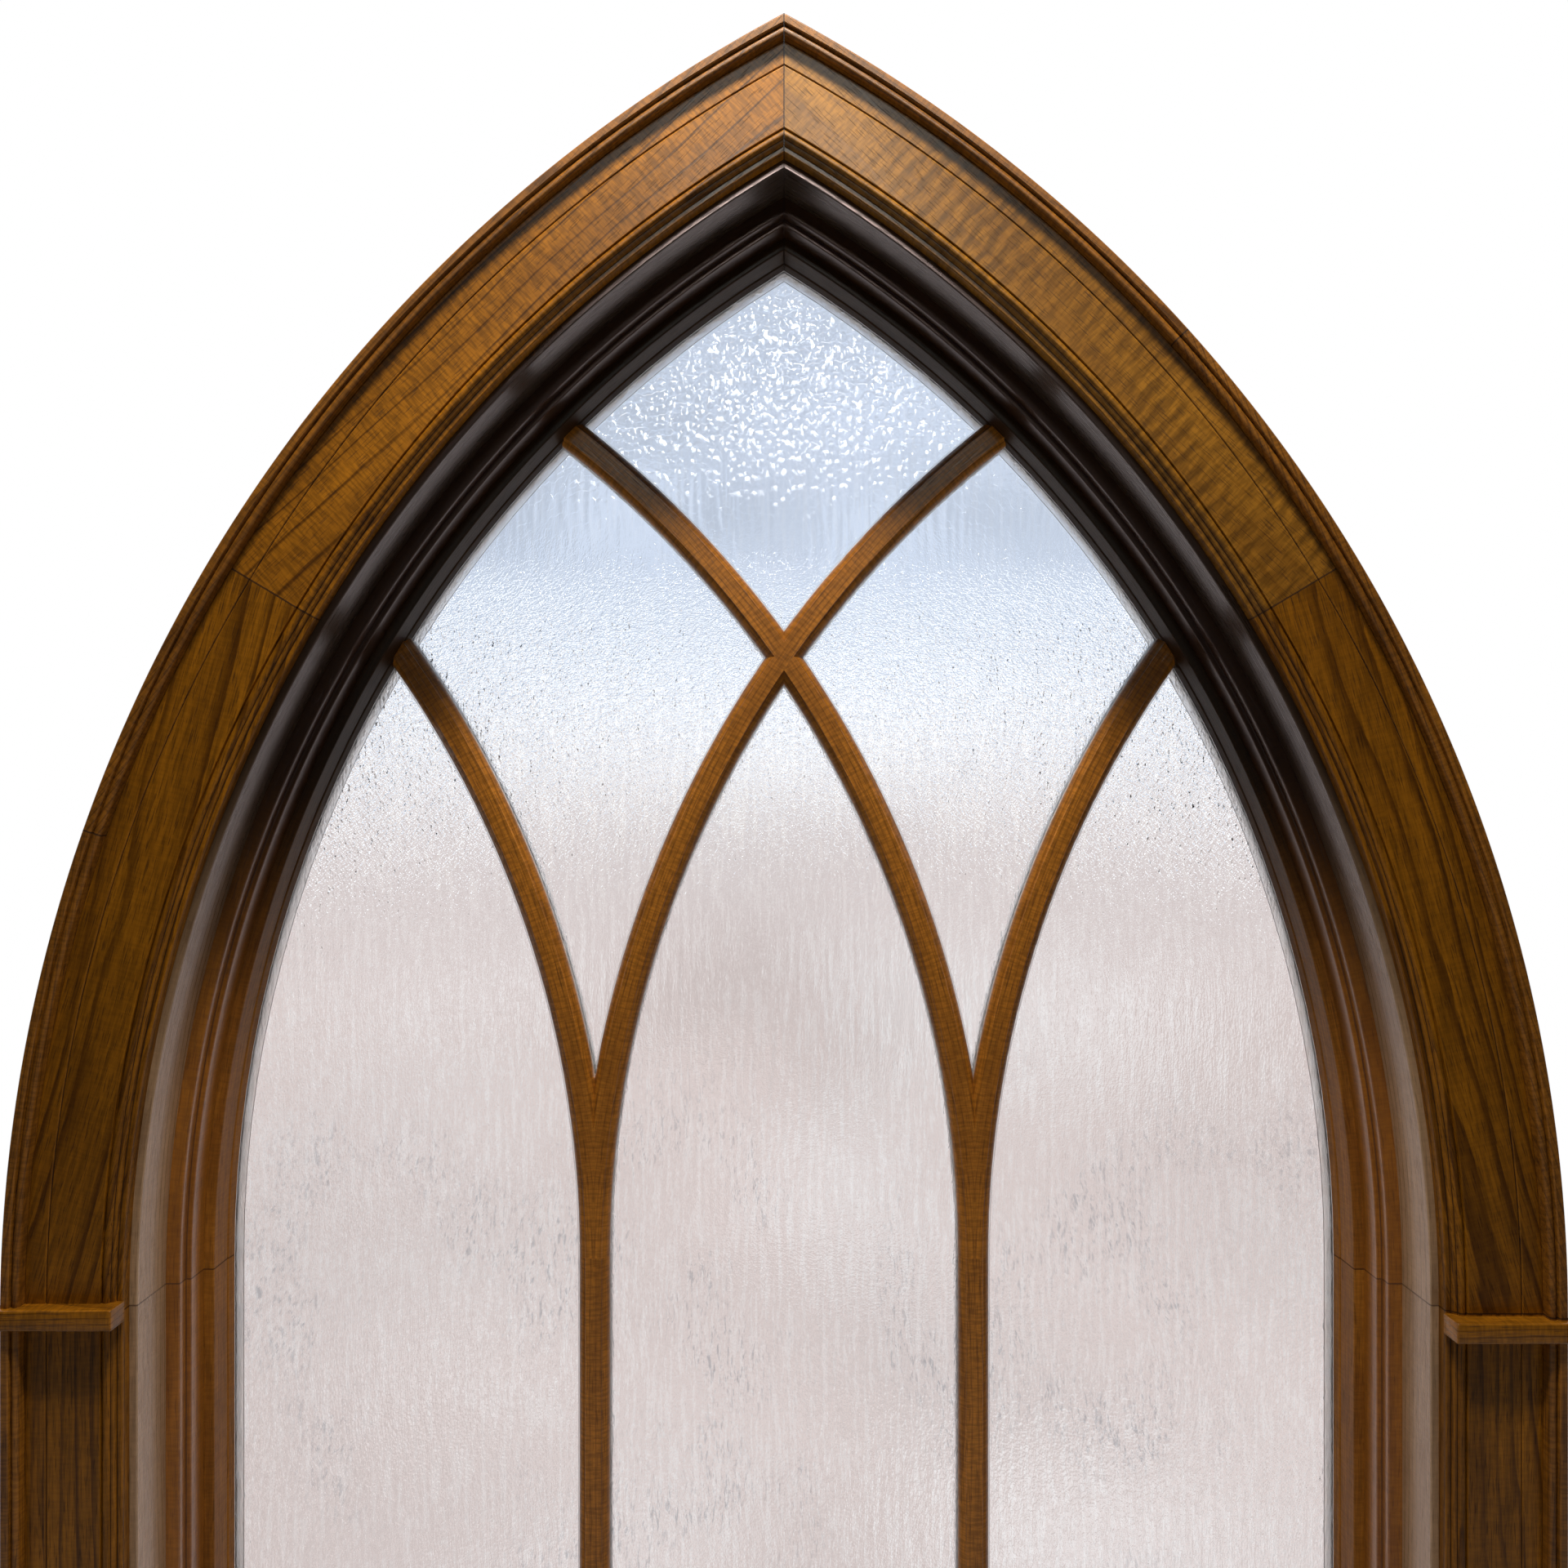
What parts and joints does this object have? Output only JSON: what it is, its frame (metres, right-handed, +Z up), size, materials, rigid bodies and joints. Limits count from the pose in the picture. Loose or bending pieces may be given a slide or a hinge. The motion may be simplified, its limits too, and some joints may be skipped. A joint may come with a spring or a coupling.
{
  "type": "gothic arched window",
  "caption": "Pointed-arch timber window with moulded casing, stepped jamb, fixed tracery sash, obscured glass panes, stool and sill.",
  "frame": {"origin": "middle of the flat underside of the frame's sill, where the window sits on the wall's rough sill", "axes": "+Z up, +X to the right seen from the room, -Y towards the room and +Y towards the weather"},
  "size_m": [1.434, 0.29, 2.1251],
  "materials": {
    "casing_wood": "brown stain under satin varnish",
    "lining_wood": "brown stain under satin varnish",
    "sash_wood": "brown stain under satin varnish",
    "frame_wood": "brown stain under satin varnish",
    "dowel_wood": "plain turned beech",
    "glass": "rain-textured obscured glass",
    "sealant": "greyish translucent sealant",
    "rubber": "dull black"
  },
  "bodies": {
    "root": {"apron": "casing_wood", "backband_arch_lower_left": "casing_wood", "backband_arch_lower_right": "casing_wood", "backband_arch_upper_left": "casing_wood", "backband_arch_upper_right": "casing_wood", "backband_leg_left": "casing_wood", "backband_leg_right": "casing_wood", "bedding_seals": "sealant", "casing_arch_lower_left": "casing_wood", "casing_arch_lower_right": "casing_wood", "casing_arch_upper_left": "casing_wood", "casing_arch_upper_right": "casing_wood", "casing_leg_left": "casing_wood", "casing_leg_right": "casing_wood", "frame_arch_left": "frame_wood", "frame_arch_right": "frame_wood", "frame_leg_left": "frame_wood", "frame_leg_right": "frame_wood", "frame_sill": "frame_wood", "glass_apex": "glass", "glass_lancet_left": "glass", "glass_lancet_middle": "glass", "glass_lancet_right": "glass", "glass_side_left": "glass", "glass_side_right": "glass", "glazing_bead_apex": "frame_wood", "glazing_bead_lancet_left": "frame_wood", "glazing_bead_lancet_middle": "frame_wood", "glazing_bead_lancet_right": "frame_wood", "glazing_bead_side_left": "frame_wood", "glazing_bead_side_right": "frame_wood", "impost_cap_left": "casing_wood", "impost_cap_right": "casing_wood", "jamb_arch_left": "lining_wood", "jamb_arch_right": "lining_wood", "jamb_leg_left": "lining_wood", "jamb_leg_right": "lining_wood", "mullion_left": "sash_wood", "mullion_right": "sash_wood", "sash_arch_left": "sash_wood", "sash_arch_right": "sash_wood", "sash_bottom_rail": "sash_wood", "sash_dowels": "dowel_wood", "sash_stile_left": "sash_wood", "sash_stile_right": "sash_wood", "setting_blocks": "rubber", "stool": "casing_wood", "stop_arch_left": "lining_wood", "stop_arch_right": "lining_wood", "stop_bottom": "lining_wood", "stop_leg_left": "lining_wood", "stop_leg_right": "lining_wood", "tracery_lower_bar": "sash_wood", "tracery_side_bar_left": "sash_wood", "tracery_side_bar_right": "sash_wood", "tracery_through_bar": "sash_wood", "tracery_upper_bar": "sash_wood"}
  },
  "joints": []
}
